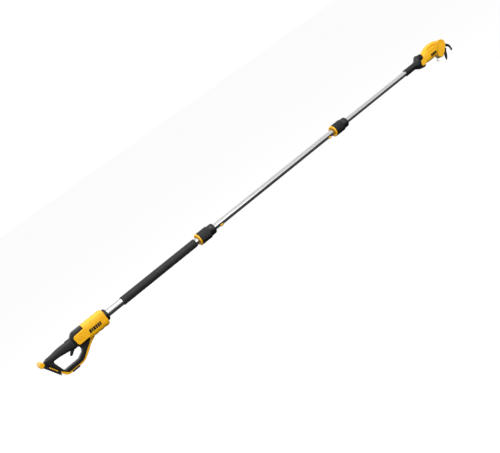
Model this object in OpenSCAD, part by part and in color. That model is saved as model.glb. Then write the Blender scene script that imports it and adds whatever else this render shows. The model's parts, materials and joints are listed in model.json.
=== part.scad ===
// Battery pole pruner with a three-tube telescoping pole and a tilting bypass head.
// X runs along the pole towards the head, Z is up, and the origin is on the pole's
// axis at the middle of the rear grip. All sizes are in millimetres.

/* [Pole] */
// Outer radius of the lower tube
lower_r = 15.3; // [15.1:0.1:15.6]
// Wall of each tube
tube_wall = 0.9; // [0.8:0.05:1]
// Radial gap between one tube and the next
tube_gap = 0.3; // [0.25:0.05:0.4]
// Where the lower tube ends, inside the first collar
lower_end = 770; // [760:1:775]
// Rear end of the middle tube
middle_start = 705; // [690:1:710]
// Rear end of the upper tube
upper_start = 1505; // [1480:1:1520]
// Outer radius of the foam grip
foam_r = 18.7; // [17.5:0.1:20]
// Rear end of the foam grip
foam_start = 311; // [280:1:330]

/* [Collars] */
// Rear face of the first collar
collar_1_x = 730; // [725:1:732]
// Rear face of the second collar
collar_2_x = 1592; // [1585:1:1595]
// Outer radius of a collar sleeve at its wide end
collar_r = 28; // [27:0.1:30]
// Outer radius of a collar sleeve at its narrow end
collar_front_r = 23; // [22:0.1:25]

/* [Handle] */
// Width of the black handle frame
frame_w = 27; // [25:0.5:30]
// Width of the rubber grip cover
grip_w = 34; // [32:0.5:36]
// Width of the yellow housing
housing_w = 66; // [62:1:70]
// Front face of the yellow housing
housing_end = 217; // [212:1:222]
// Width of the battery foot
foot_w = 62; // [58:1:64]

/* [Head] */
// Width of the pruner body
head_w = 48; // [46:1:52]
// Width of the slanted snout
snout_w = 34; // [30:1:38]
// Thickness of each blade
blade_t = 3; // [2.6:0.1:3.2]
// Length of the cutting blade from its bolt to its tip
blade_reach = 55.5; // [52:0.5:60]

/* [Hidden] */

yellow = [0.97, 0.72, 0.1];
black = [0.13, 0.13, 0.13];
foam_grey = [0.2, 0.2, 0.19];
silver = [0.76, 0.77, 0.78];
steel = [0.5, 0.5, 0.52];
dark_steel = [0.16, 0.16, 0.17];
bore_fn = 64;
big = 400;
skin = 0.05;         // half of the parting gap between two shells

middle_r = lower_r - tube_wall - tube_gap;
upper_r = middle_r - tube_wall - tube_gap;
lower_start = 145;
middle_end = collar_2_x + 40;
upper_end = 2205;
foam_end = 714;
cable_r = 8.5;
cable_split = 1100;
cable_gap = 0.4;

// ---- helpers -------------------------------------------------------------

// A side outline, drawn as X and Z, made solid from y0 to y1.
module side_prism(y0, y1)
    translate([0, y1, 0]) rotate([90, 0, 0]) linear_extrude(y1 - y0) children();

// A cross-section, drawn as Y and Z, made solid from x0 to x1.
module along_x(x0, x1)
    translate([x0, 0, 0]) rotate([90, 0, 90]) linear_extrude(x1 - x0) children();

module rod_x(x0, x1, r, fn = bore_fn)
    translate([x0, 0, 0]) rotate([0, 90, 0]) cylinder(h = x1 - x0, r = r, $fn = fn);

module cone_x(x0, x1, r0, r1)
    translate([x0, 0, 0]) rotate([0, 90, 0]) cylinder(h = x1 - x0, r1 = r0, r2 = r1, $fn = bore_fn);

module tube_x(x0, x1, r_out, r_in)
    difference() {
        rod_x(x0, x1, r_out);
        rod_x(x0 - 1, x1 + 1, r_in);
    }

module rod_y(p, y0, y1, r, fn = 48)
    translate([p[0], y1, p[1]]) rotate([90, 0, 0]) cylinder(h = y1 - y0, r = r, $fn = fn);

module rounded_rect(w, h, r) {
    square([w - 2 * r, h], center = true);
    square([w, h - 2 * r], center = true);
    for (sy = [-1, 1], sz = [-1, 1])
        translate([sy * (w / 2 - r), sz * (h / 2 - r)]) circle(r = r, $fn = 48);
}

// The half of a piece on one side of the parting plane: side is -1 or 1.
module half(side)
    intersection() {
        children();
        translate([-big, side > 0 ? skin : -big - skin, -big]) cube([8 * big, big, 2 * big]);
    }

// ---- handle --------------------------------------------------------------

foot_angle = 61.2;   // how far the battery foot's slide direction dips below the pole
post_n = 72;         // distance from the origin to the foot's mounting face

// A point given along the foot's slide direction and outwards from it, as X and Z.
function foot_point(t, n) = [
    t * cos(foot_angle) - n * sin(foot_angle),
    -t * sin(foot_angle) - n * cos(foot_angle)];

// Places a piece drawn with X along the slide direction and -Z outwards.
module on_foot() rotate([0, foot_angle, 0]) children();

neck_start = 60;
neck_end = 115.8;
neck_w = 40;
wall = 2.6;
opening_top = [[-51, -11.5], [-20, -13], [0, -16.2], [20, -19.6], [54, -25.6]];
opening_low = [[67.4, -32], [68.6, -43], [61.5, -55], [36.3, -67.8], [-34, -68.4]];
rim_inside = [[139, -37.3], [neck_end, -37.3], [108, -46.4], [67.4, -75], [50.4, -84.8],
    [-25.1, -86.6], [-33.4, -77]];
rim_outside = [foot_point(26.6, post_n + 0.3), foot_point(31.8, post_n + 5.8), [-45.8, -77],
    [-36.1, -88.6], [-25.1, -94.3], [-12.6, -94.6], [50.4, -90.2], [82.6, -75.6], [107.8, -56.2],
    [139, -37.9]];
frame_top = [[-76, 9.5], [-44.4, 10.3], [-8.4, 14.3], [48, 13.6], [57, 20.4], [67.4, 29.6],
    [76, 33], [neck_end, 33]];

module frame_outline() {
    polygon(concat(
        frame_top,
        [for (i = [1:len(rim_inside) - 1]) rim_inside[i]],
        [foot_point(28, post_n), foot_point(-40, post_n)]));
}

module hand_opening() offset(r = 5, $fn = 32) offset(delta = -5) polygon(concat(opening_top, opening_low));

module frame_band()
    difference() {
        frame_outline();
        hand_opening();
    }

module neck_zone() translate([neck_start, -35.5]) square([neck_end - neck_start, 69]);

module neck_outline()
    intersection() {
        frame_band();
        neck_zone();
    }

trigger_pivot = [62, -19];
frame_bosses = [[-63, -4], [-18, -77.6], [44, -76], [82, -47], [97, 22]];
housing_bosses = [[128, 26], [202, 26], [128, -28.5], [202, -28.5]];
boss_r = 4;
screw_r = 1.6;

module boss_set(points, depth)
    for (p = points) rod_y(p, -depth, depth, boss_r);

module screw_holes(points, depth)
    for (p = points) {
        rod_y(p, -depth + 5, depth + 5, screw_r + 0.05);
        rod_y(p, depth - 2.5, depth + 5, 3.3);
    }

module trigger_slot() translate([15, -6.8, -40]) cube([54, 13.6, 34]);

module lock_slot() translate([28.5, -6.2, 4]) cube([25, 12.4, 24]);

module handle_half(side)
    half(side)
        difference() {
            union() {
                difference() {
                    union() {
                        side_prism(-frame_w / 2, frame_w / 2) frame_band();
                        side_prism(-neck_w / 2, neck_w / 2) neck_outline();
                    }
                    side_prism(-frame_w / 2 + wall, frame_w / 2 - wall)
                        offset(delta = -wall) frame_band();
                }
                boss_set(frame_bosses, frame_w / 2 - 1);
                rod_y(trigger_pivot, -11.5, -7.2, 4.4);
                rod_y(trigger_pivot, 7.2, 11.5, 4.4);
            }
            screw_holes([for (i = [0:3]) frame_bosses[i]], frame_w / 2);
            screw_holes([frame_bosses[4]], neck_w / 2);
            rod_y(trigger_pivot, -10.7, 10.7, 2.02);
            trigger_slot();
            lock_slot();
            rod_x(neck_end - 6, neck_end + 6, 9);
        }

module handle_left() color(black) handle_half(-1);

module handle_right() color(black) handle_half(1);

section_z = -1.5;
section_h = 71;

module housing_section(inset)
    translate([0, section_z])
        rounded_rect(housing_w - 2 * inset, section_h - 2 * inset, 21 - inset);

module cheek_outline()
    hull()
        for (p = [[74, 4.5], [75.5, -15], [118, 12.5], [118, -18]])
            translate(p) circle(r = p[0] > 100 ? 5.5 : 11, $fn = 32);

module housing_solid() {
    along_x(116, housing_end - 5) housing_section(0);
    along_x(housing_end - 5, housing_end) housing_section(3);
    for (s = [-1, 1])
        side_prism(s > 0 ? neck_w / 2 + 0.2 : -housing_w / 2 + 3,
                   s > 0 ? housing_w / 2 - 3 : -neck_w / 2 - 0.2)
            intersection() {
                cheek_outline();
                translate([60, -60]) square([57, 100]);
            }
}

module tube_rib(x)
    along_x(x, x + 5)
        difference() {
            housing_section(2);
            circle(r = lower_r, $fn = bore_fn);
        }

module housing_half(side)
    half(side)
        difference() {
            union() {
                difference() {
                    housing_solid();
                    along_x(119, housing_end - 8) housing_section(3);
                }
                tube_rib(150);
                tube_rib(190);
                boss_set(housing_bosses, 27);
            }
            rod_x(100, 130, 9);
            rod_x(housing_end - 10, housing_end + 5, lower_r);
            screw_holes(housing_bosses, 24);
            translate([131, -19, 20]) cube([60, 38, 9]);
        }

module housing_left() color(yellow) housing_half(-1);

module housing_right() color(yellow) housing_half(1);

module grip_outline()
    polygon([[-70, 12.4], [-44.4, 13.2], [-8.4, 17.4], [22.3, 17.1], [49, 16.4], [54, 19.4],
        [56, -28.6], [20, -22.6], [0, -19.2], [-20, -16], [-46, -14.4], [-54, -16.4], [-62, -17]]);

module grip_cover()
    color(black)
        difference() {
            side_prism(-grip_w / 2, grip_w / 2)
                difference() {
                    grip_outline();
                    hand_opening_below();
                }
            side_prism(-frame_w / 2 - 0.02, frame_w / 2 + 0.02) offset(delta = 0.02) frame_band();
            translate([15, -7.5, -40]) cube([54, 15, 34]);
            translate([28.2, -6.6, 4]) cube([26, 13.2, 24]);
        }

// What the rear post's inner edge takes away from the grip cover's lower corner.
module hand_opening_below() polygon([[-56, -18], [-48, -14.4], [-20, -60]]);

module rim_strip()
    color(yellow)
        difference() {
            side_prism(-10, 10)
                polygon(concat(
                    [for (p = rim_inside) p + [0, -0.1]],
                    [foot_point(28.2, post_n + 0.1)],
                    [for (i = [1:len(rim_outside) - 1]) rim_outside[i]]));
            translate([-12.6, -20, -120]) cube([35, 40, 120 - 88.7]);
        }

module rest_pad()
    color(black)
        side_prism(-12, 12)
            polygon([[-12.5, -88.8], [-12.5, -95], [-11, -96.3], [20.8, -96.3], [22.3, -95],
                [22.3, -88.8]]);

module battery_foot() {
    w = foot_w / 2;
    color(black)
        on_foot()
            difference() {
                along_x(-39.9, 37)
                    polygon([[-w, -post_n], [w, -post_n], [w, -85.4], [w - 8, -85.4],
                        [w - 8, -82.4], [w - 3, -82.4], [w - 3, -76.5], [3 - w, -76.5],
                        [3 - w, -82.4], [8 - w, -82.4], [8 - w, -85.4], [-w, -85.4]]);
                side_prism(-w - 1, w + 1)
                    polygon([[26.4, -post_n + 0.2], [37.4, -85.6], [60, -85.6], [60, -post_n + 0.2]]);
            }
}

module foot_cap()
    color(yellow)
        on_foot()
            side_prism(-foot_w / 2, foot_w / 2)
                polygon([[-55.2, -87.4], [-61.9, -76], [-55.3, -67.5], [-45, -69.5],
                    [-40.1, -post_n], [-40.1, -86.5], [-46.5, -91]]);

module rail_strips()
    color(yellow)
        on_foot()
            for (s = [-1, 1], k = [0:3])
                translate([-17 + 9.4 * k, s * (foot_w / 2 + 0.45), -75])
                    cube([7.4, 0.8, 3.4], center = true);

module terminal_block()
    color(black)
        on_foot()
            difference() {
                translate([-22, -13, -82]) cube([40, 26, 5.45]);
                for (k = [0:3])
                    translate([-18, -10.1 + 6 * k, -83]) cube([32, 2.2, 5]);
            }

module battery_contacts()
    color("goldenrod")
        on_foot()
            for (k = [0:3])
                translate([-16, -9.4 + 6 * k, -84.5]) cube([28, 0.8, 6.5]);

module switch_module()
    color(dark_steel)
        translate([26, -8, -9]) cube([29, 16, 10]);

module control_board() {
    color([0.1, 0.35, 0.2]) translate([132, -18, 20.5]) cube([58, 36, 1.6]);
    color(dark_steel) translate([140, -12, 22.1]) cube([16, 16, 5]);
    color(silver) translate([162, -10, 22.1]) cube([22, 12, 5.5]);
}

module trigger_pin() color(steel) rod_y(trigger_pivot, -10.4, 10.4, 2);

module trigger_spring() color(steel) translate([42, 0, -14.4]) coil_stand(2.8, 5.2);

// A short coil spring as a plain sleeve of its outer size.
module coil_stand(r, h)
    difference() {
        cylinder(h = h, r = r, $fn = 32);
        translate([0, 0, -1]) cylinder(h = h + 2, r = r - 0.8, $fn = 32);
    }

module lock_spring() color(steel) translate([41, 0, 1.2]) coil_stand(3, 8.2);

module handle_screws()
    color(steel) {
        for (i = [0:3]) screw_y(frame_bosses[i], frame_w / 2);
        screw_y(frame_bosses[4], neck_w / 2);
        for (p = housing_bosses) screw_y(p, 24);
    }

module screw_y(p, depth)
    difference() {
        union() {
            rod_y(p, -depth + 6, depth - 2, screw_r, 24);
            rod_y(p, depth - 2.4, depth - 0.4, 3, 24);
        }
        rod_y(p, depth - 1.4, depth + 1, 1.3, 6);
    }

module flange_ring()
    color(black)
        difference() {
            union() {
                rod_x(housing_end + 0.1, housing_end + 10, 26.5);
                cone_x(housing_end + 10, housing_end + 15, 26.5, 22);
            }
            rod_x(housing_end - 5, housing_end + 20, lower_r);
        }

module lower_tube() color(silver) tube_x(lower_start, lower_end, lower_r, lower_r - tube_wall);

module foam_grip()
    color(foam_grey)
        difference() {
            union() {
                rod_x(foam_start + 2, foam_end - 2, foam_r);
                cone_x(foam_start, foam_start + 2, foam_r - 1, foam_r);
                cone_x(foam_end - 2, foam_end, foam_r, foam_r - 1);
            }
            rod_x(foam_start - 1, foam_end + 1, lower_r);
        }

// ---- collars ---------------------------------------------------------------

hub_nose_r = 19;
collet_r = 18.4;

// Clamped on the outer tube, which ends 40 mm in front of the collar's rear face.
module collar_hub(x, r_outer, r_inner)
    color(yellow)
        difference() {
            union() {
                cone_x(x, x + 3, collar_r - 2, collar_r - 0.3);
                rod_x(x + 3, x + 7, collar_r - 0.3);
                rod_x(x + 6, x + 55, hub_nose_r);
            }
            rod_x(x - 1, x + 40, r_outer);
            rod_x(x + 39, x + 60, r_inner + 0.4);
            cone_x(x - 0.01, x + 5, collar_r - 5, r_outer);
        }

module collar_collet(x, r_inner)
    color(steel)
        difference() {
            union() {
                rod_x(x + 55.2, x + 74, collet_r);
                cone_x(x + 74, x + 82, collet_r, collet_r - 2);
            }
            rod_x(x + 50, x + 90, r_inner + 0.08);
            for (a = [0:60:120])
                rotate([a, 0, 0]) translate([x + 61, -30, -0.9]) cube([30, 60, 1.8]);
        }

module collar_sleeve(x, r_inner)
    color(black)
        difference() {
            union() {
                rod_x(x + 7.3, x + 62, collar_r);
                cone_x(x + 62, x + 67, collar_r, collar_front_r + 1.5);
                cone_x(x + 67, x + 84, collar_front_r + 1.5, collar_front_r);
                cone_x(x + 84, x + 92, collar_front_r, collar_front_r - 5);
            }
            rod_x(x + 6, x + 83, hub_nose_r + 0.4);
            rod_x(x + 80, x + 95, r_inner + 0.5);
        }

module collar_1_hub() collar_hub(collar_1_x, lower_r, middle_r);

module collar_1_collet() collar_collet(collar_1_x, middle_r);

module collar_1_sleeve() collar_sleeve(collar_1_x, middle_r);

module collar_2_hub() collar_hub(collar_2_x, middle_r, upper_r);

module collar_2_collet() collar_collet(collar_2_x, upper_r);

module collar_2_sleeve() collar_sleeve(collar_2_x, upper_r);

// ---- tubes and snap buttons -------------------------------------------------

button_1_x = 859;
button_2_x = 1558;
button_angle = 50;   // how far below the pole's side the buttons sit
button_lift = 3.2;
button_l = 16;
button_w = 10;

// Turns a piece drawn along +Z to stick out where the snap buttons do.
module at_button(x) translate([x, 0, 0]) rotate([90 + button_angle, 0, 0]) children();

module button_plan(grow)
    for (s = [-1, 1], k = [0, 1])
        if (k == 0)
            translate([s * (button_l - button_w) / 2, 0]) circle(d = button_w + grow, $fn = 48);
        else
            square([button_l - button_w, button_w + grow], center = true);

module button_hole(x) at_button(x) linear_extrude(30) button_plan(0.6);

module snap_button(x, r_bottom)
    color(yellow)
        at_button(x)
            intersection() {
                translate([0, 0, r_bottom - 5]) linear_extrude(30) button_plan(0);
                rotate([0, 90, 0])
                    difference() {
                        translate([0, 0, -20]) cylinder(h = 40, r = middle_r + button_lift, $fn = bore_fn);
                        translate([0, 0, -21]) cylinder(h = 42, r = r_bottom, $fn = bore_fn);
                    }
            }

// A bent leaf that pushes a snap button out: it lies under the button and rises to the
// wall of the tube, whose inner radius is r_wall.
module leaf_spring(x, r_top, r_wall)
    color(steel)
        at_button(x)
            side_prism(-2.5, 2.5)
                polygon([[-7, r_top], [7, r_top], [24, r_wall - 0.3], [24, r_wall - 1.1],
                    [7, r_top - 0.8], [-7, r_top - 0.8]]);

module middle_tube()
    color(silver)
        difference() {
            tube_x(middle_start, middle_end, middle_r, middle_r - tube_wall);
            button_hole(button_1_x);
            button_hole(button_2_x);
        }

module upper_tube()
    color(silver)
        difference() {
            tube_x(upper_start, upper_end, upper_r, upper_r - tube_wall);
            button_hole(button_2_x);
        }

module snap_button_1() snap_button(button_1_x, middle_r - tube_wall - 1.8);

module button_1_spring() leaf_spring(button_1_x, middle_r - tube_wall - 2.3, middle_r - tube_wall);

module snap_button_2() snap_button(button_2_x, upper_r - tube_wall - 1.6);

module button_2_spring() leaf_spring(button_2_x, upper_r - tube_wall - 2.1, upper_r - tube_wall);

// A plastic bush pressed on a tube's rear end, which keeps it centred in the next tube.
module rear_bush(x, r_tube)
    color(black)
        difference() {
            rod_x(x - 12, x - skin, r_tube + 0.1);
            rod_x(x - 13, x + 1, cable_r + cable_gap);
        }

module middle_bush() rear_bush(middle_start, middle_r);

module upper_bush() rear_bush(upper_start, upper_r);

// The coiled cable inside the pole, as a tube of the coil's outer size.
module cable_lower() color(black) rod_x(neck_end + 7, cable_split - cable_gap, cable_r - 2, 24);

module cable_upper() color(black) rod_x(cable_split, upper_end + 5, cable_r - 2, 24);

// ---- trigger and lock-off -----------------------------------------------------

module trigger()
    color(black)
        difference() {
            union() {
                side_prism(-6, 6)
                    polygon([[64, -15], [66, -19], [65, -26], [60, -29.2], [52, -29.6], [44, -31],
                        [36, -35], [28, -41], [24, -43.2], [20, -43], [17.5, -40.5], [18.5, -36],
                        [23, -31], [28, -25], [31, -17.6], [52, -16]]);
                rod_y(trigger_pivot, -6, 6, 4);
            }
            rod_y(trigger_pivot, -7, 7, 2.05);
        }

module lock_off_button()
    color(black) {
        translate([29.5, -5.4, 9.8]) cube([23, 10.8, 9.4]);
        translate([37, -1.5, 9.6]) cube([8, 3, 0.4]);
    }

// ---- head ---------------------------------------------------------------------

tilt_pivot = [2251, 19];
ear_r = 15.8;
ear_in = 10;
ear_out = 20;
lobe_r = 44.5;
blade_bolt_at = [2429, -31.5];
sector_r = 26;        // pitch radius of the cutting blade's toothed tail
pinion_r = 8;         // pitch radius of the drive pinion
pinion_teeth = 8;
sector_teeth_full = 26;
mesh_angle = 135.7;   // direction from the blade bolt to the drive pinion
pinion_at = blade_bolt_at + (sector_r + pinion_r) * [cos(mesh_angle), sin(mesh_angle)];

module clevis_side()
    polygon([[2198, 16.8], [2212, 18], [2222, 19.8], [2230, 26], [2236, 31.5], [2243, 33.8],
        [2243, -34.2], [2237, -33.7], [2222, -28], [2208, -21.5], [2198, -16.8]]);

module head_clevis()
    color(black)
        difference() {
            union() {
                cone_x(2132, 2134, 16, 17);
                rod_x(2134, 2212, 17);
                side_prism(-ear_out, ear_out) clevis_side();
                side_prism(-ear_out, ear_out)
                    polygon([[2238, -22], [2257, -22], [2257.8, -28], [2252.5, -33], [2243, -34.2],
                        [2238, -34]]);
                rod_y(tilt_pivot, -ear_out, ear_out, ear_r);
            }
            rod_x(2131, upper_end, upper_r);
            rod_x(2200, 2250, 8.5);
            rod_y(tilt_pivot, -ear_in, ear_in, ear_r + 1.2);
            side_prism(-ear_in, ear_in) polygon([[2243, 40], [2275, 40], [2275, -4], [2243, -4]]);
            rod_y(tilt_pivot, -ear_out - 2, ear_out + 2, 3.04);
            // The rounded pocket that the head's rear lobe swings in.
            side_prism(-ear_out - 1, ear_out + 1)
                lobe_outline_between(ear_r, lobe_r + 0.8, 0.8);
            for (k = [0:4])
                tube_x(2141 + 12 * k, 2143.5 + 12 * k, 18, 16.2);
        }

module tilt_bolt()
    color(dark_steel) {
        rod_y(tilt_pivot, -ear_out - 3.4, -ear_out - 0.1, 6.5, 48);
        rod_y(tilt_pivot, -ear_out - 0.2, ear_out + 5, 3);
    }

module tilt_nut()
    color(dark_steel)
        difference() {
            rod_y(tilt_pivot, ear_out + 0.1, ear_out + 4.2, 6.2, 6);
            rod_y(tilt_pivot, ear_out - 1, ear_out + 6, 3.02);
        }

head_body = [[2264, 4], [2268, 15], [2276, 22], [2289, 28.5], [2308, 36], [2326, 41.7],
    [2345, 44], [2359, 44.4], [2376, 42.8], [2391, 38.8], [2400, 31], [2395, 15], [2384, 2],
    [2372, -11], [2366, -20], [2358, -26.5], [2345, -27.5], [2326, -28.5], [2297, -28],
    [2276, -26.5], [2266, -25]];
head_plan = [[2260, -14], [2296, -24], [2450, -24], [2450, 24], [2296, 24], [2260, 14]];
snout = [[2396, 29.5], [2411, 29.5], [2424, 28.8], [2432, 24], [2440, 15.5], [2447, 3],
    [2446, -8.5], [2433, -27], [2414, -41.5], [2396, -51], [2384, -53.5], [2373, -52],
    [2366, -46], [2362.5, -38], [2362, -26], [2352, -14], [2352, 14], [2380, 24]];
snout_core_w = 22;    // width of the snout's middle, which its rounded sides fall away from
snout_fall = 5;

// The rear lobe nests in the clevis, below the ears, and turns about the tilt bolt.
module lobe_side() lobe_outline_between(ear_r + 0.6, lobe_r, 0);

// The space under the ears between two arcs round the tilt bolt, its rear edge moved
// back by room.
module lobe_outline_between(r_in, r_out, room)
    difference() {
        intersection() {
            translate(tilt_pivot) circle(r = r_out, $fn = bore_fn);
            polygon([[2235.5 - room, -13], [2243.5 - room, 4], [2276, 8], [2276, -40],
                [2235.5 - room, -40]]);
        }
        translate(tilt_pivot) circle(r = r_in, $fn = bore_fn);
    }

module head_solid() {
    difference() {
        intersection() {
            side_prism(-head_w / 2, head_w / 2) polygon(head_body);
            translate([0, 0, -big / 2]) linear_extrude(big) polygon(head_plan);
        }
        for (s = [-1, 1])
            rod_y(tilt_pivot, s > 0 ? ear_in - 0.4 : -head_w, s > 0 ? head_w : 0.4 - ear_in, ear_r + 0.6);
    }
    side_prism(-snout_core_w / 2, snout_core_w / 2) polygon(snout);
    side_prism(-snout_w / 2, snout_w / 2) offset(delta = -snout_fall) polygon(snout);
    side_prism(-ear_out + 1, ear_out - 1) lobe_side();
    side_prism(-ear_in + 0.3, ear_in - 0.3)
        hull() {
            translate(tilt_pivot) circle(r = 12.5, $fn = 32);
            translate([2276, 13]) circle(r = 11, $fn = 32);
        }
}

module head_cavity() {
    side_prism(-head_w / 2 + 2.6, head_w / 2 - 2.6)
        intersection() {
            offset(delta = -2.6) polygon(head_body);
            translate([2296, -60]) square([150, 120]);
        }
    side_prism(-snout_core_w / 2 + 2.6, snout_core_w / 2 - 2.6)
        offset(delta = -2.6) polygon(snout);
    side_prism(-snout_w / 2 + 2.6, snout_w / 2 - 2.6)
        offset(delta = -snout_fall - 2.6) polygon(snout);
}

// The slit between the shells that both blades work in.
module blade_slit()
    side_prism(-blade_t - 0.9, blade_t + 0.9) {
        translate(blade_bolt_at) circle(r = sector_r + 4.5, $fn = bore_fn);
        polygon([[2426, -60], [2472, -60], [2472, 4], [2440, 8], [2400, -10], [2388, -47], [2388, -90]]);
    }

head_bosses = [[2304, 27.5], [2304, -20.5], [2376, -39], [2421, 13]];

module head_half(side)
    half(side)
        difference() {
            union() {
                difference() {
                    head_solid();
                    head_cavity();
                }
                boss_set([head_bosses[0], head_bosses[1]], head_w / 2 - 1.5);
                boss_set([head_bosses[2], head_bosses[3]], 14.6);
                rod_y(pinion_at, -15, -4.1, 5.5);
            }
            blade_slit();
            rod_y(tilt_pivot, -ear_out, ear_out, 3.04);
            rod_x(2234, 2298, 7);
            screw_holes([head_bosses[0], head_bosses[1]], 20);
            screw_holes([head_bosses[2], head_bosses[3]], 14);
            rod_y(blade_bolt_at, -40, 40, 6.6);
            rod_y(pinion_at, -13, 13, 3.05);
            translate([staple_x, staple_y, 0]) staple_legs(1.35);
        }

module head_shell_left() color(yellow) head_half(-1);

module head_shell_right() color(yellow) head_half(1);

module head_screws()
    color(steel) {
        for (i = [0, 1]) screw_y(head_bosses[i], 20);
        for (i = [2, 3]) screw_y(head_bosses[i], 14);
    }

module head_motor()
    color(steel)
        translate([0, 0, 4]) {
            rod_x(2306, 2345, 17);
            rod_x(2345, 2349, 6);
            rod_x(2301, 2306, 5);
        }

// The gearbox case holds the reduction and the bevel pair, and carries the pinion shaft.
module gearbox()
    color(dark_steel)
        difference() {
            union() {
                translate([0, 0, 4]) rod_x(2349.1, 2373, 16.6);
                translate([2369, 5.6, -20]) cube([22, 8, 37]);
                side_prism(5.6, 13.6)
                    hull() {
                        translate([2386, -8]) circle(r = 10, $fn = 32);
                        translate(pinion_at) circle(r = 7, $fn = 32);
                    }
            }
            rod_y(pinion_at, 5, 20, 3.05);
            rod_y(head_bosses[2], 0, 20, boss_r + 0.4);
        }

// A ring of tapered teeth: count teeth in all, of which first to last are drawn.
module teeth(pitch_r, count, first, last, turn)
    for (k = [first:last])
        rotate(turn + 360 * k / count)
            polygon([[pitch_r - 3.2, -2], [pitch_r, -1.35], [pitch_r + 1.6, -0.5],
                [pitch_r + 1.6, 0.5], [pitch_r, 1.35], [pitch_r - 3.2, 2]]);

module drive_pinion()
    color(steel) {
        rod_y(pinion_at, -12.6, 12.8, 3);
        side_prism(0.3, blade_t)
            translate(pinion_at) {
                circle(r = pinion_r - 2.3, $fn = 48);
                teeth(pinion_r, pinion_teeth, 0, pinion_teeth - 1, mesh_angle + 180);
            }
    }

module hook_plan()
    difference() {
        union() {
            translate(blade_bolt_at) circle(r = 7.4, $fn = 48);
            polygon([[2429, -38], [2434.5, -26.5], [2438, -22.5], [2446, -24.8], [2455, -31],
                [2460, -43], [2459.5, -54.5], [2465.5, -57.5], [2469.8, -53.5], [2470.5, -42],
                [2468.5, -30], [2463, -20], [2452, -12], [2443, -5], [2436, -1], [2430, 19],
                [2411, 20], [2411, 6], [2418, -14], [2422, -33]]);
        }
        translate(blade_bolt_at) circle(r = 4.03, $fn = 48);
        translate(head_bosses[3]) circle(r = boss_r + 0.3, $fn = 48);
    }

module hook_blade() color(dark_steel) side_prism(-blade_t, -0.15) hook_plan();

blade_dir = -116.4;   // direction of the cutting blade's tip from its bolt

module blade_plan()
    difference() {
        union() {
            circle(r = 7.4, $fn = 48);
            rotate(blade_dir)
                polygon([[0, -7.2], [12, -9.4], [26, -9.6], [36, -6.8], [50, -3.5], [blade_reach, 0.6],
                    [51, 4.2], [43.6, 6.9], [34, 8.9], [25, 9.5], [12, 8.8], [0, 7.2]]);
            intersection() {
                circle(r = sector_r - 1.8, $fn = 96);
                polygon([[0, -6], 60 * [cos(42), sin(42)], 60 * [cos(96), sin(96)],
                    60 * [cos(150), sin(150)], [-6, 0]]);
            }
            teeth(sector_r, sector_teeth_full, -7, 0, mesh_angle + 180 / sector_teeth_full);
        }
        circle(r = 4.03, $fn = 48);
    }

module cutting_blade() color(dark_steel) side_prism(0.15, blade_t) translate(blade_bolt_at) blade_plan();

module blade_bolt()
    color(dark_steel) {
        rod_y(blade_bolt_at, -blade_t - 4, -blade_t - 0.1, 6.2, 48);
        rod_y(blade_bolt_at, -blade_t - 0.2, blade_t + 7, 4);
    }

module blade_nut()
    color(dark_steel)
        difference() {
            rod_y(blade_bolt_at, blade_t + 0.4, blade_t + 5.5, 6.4, 6);
            rod_y(blade_bolt_at, blade_t - 1, blade_t + 9, 4.02);
        }

staple_x = 2357;
staple_y = -9;
staple_z = -38.4;
wire_r = 1.2;

module staple_legs(r)
    for (s = [-1, 1])
        translate([0, s * 4, staple_z]) cylinder(h = 15, r = r, $fn = 24);

module hook_staple()
    color(steel)
        translate([staple_x, staple_y, 0]) {
            staple_legs(wire_r);
            rod_y([0, staple_z], -4 - wire_r, 4 + wire_r, wire_r, 24);
        }

eye_r = 4.9;
curl_r = 5.6;
hook_dir = 232;      // direction in which the branch hook hangs

module wire_ring(r, sweep)
    rotate([90, 0, 0])
        rotate_extrude(angle = sweep, $fn = 48) translate([r, 0]) circle(r = wire_r, $fn = 24);

module branch_hook()
    color(silver)
        translate([staple_x, staple_y, staple_z])
            rotate([0, -hook_dir, 0]) {
                translate([eye_r - 2 * wire_r - 0.1, 0, 0]) wire_ring(eye_r, 360);
                translate([2 * eye_r - 3, 0, 0]) rotate([0, 90, 0]) cylinder(h = 4, r = wire_r, $fn = 24);
                translate([2 * eye_r + 0.6 + curl_r, 0, 0]) rotate([0, 180, 0]) wire_ring(curl_r, 270);
            }

// ---- what is drawn --------------------------------------------------------------

handle_left();
handle_right();
housing_left();
housing_right();
grip_cover();
rim_strip();
rest_pad();
battery_foot();
foot_cap();
rail_strips();
terminal_block();
battery_contacts();
switch_module();
control_board();
trigger_pin();
trigger_spring();
lock_spring();
handle_screws();
flange_ring();
lower_tube();
foam_grip();
collar_1_hub();
collar_1_collet();
cable_lower();
trigger();
lock_off_button();
collar_1_sleeve();
middle_tube();
middle_bush();
button_1_spring();
snap_button_1();
collar_2_hub();
collar_2_collet();
cable_upper();
collar_2_sleeve();
upper_tube();
upper_bush();
button_2_spring();
snap_button_2();
head_clevis();
tilt_bolt();
tilt_nut();
head_shell_left();
head_shell_right();
head_motor();
gearbox();
drive_pinion();
hook_blade();
cutting_blade();
blade_bolt();
blade_nut();
head_screws();
hook_staple();
branch_hook();
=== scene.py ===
"""Looks for a battery pole pruner: a D-handle, a three-tube telescoping pole and a bypass head.

Helpers take millimetres, in the part's own frame: X runs along the pole towards the head,
Y to its right side and Z up. Meshes are made in metres.
"""

import json
from math import acos, copysign, cos, degrees, hypot, pi, radians, sin, tan

import bmesh
import bpy
from mathutils import Matrix, Vector


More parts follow.
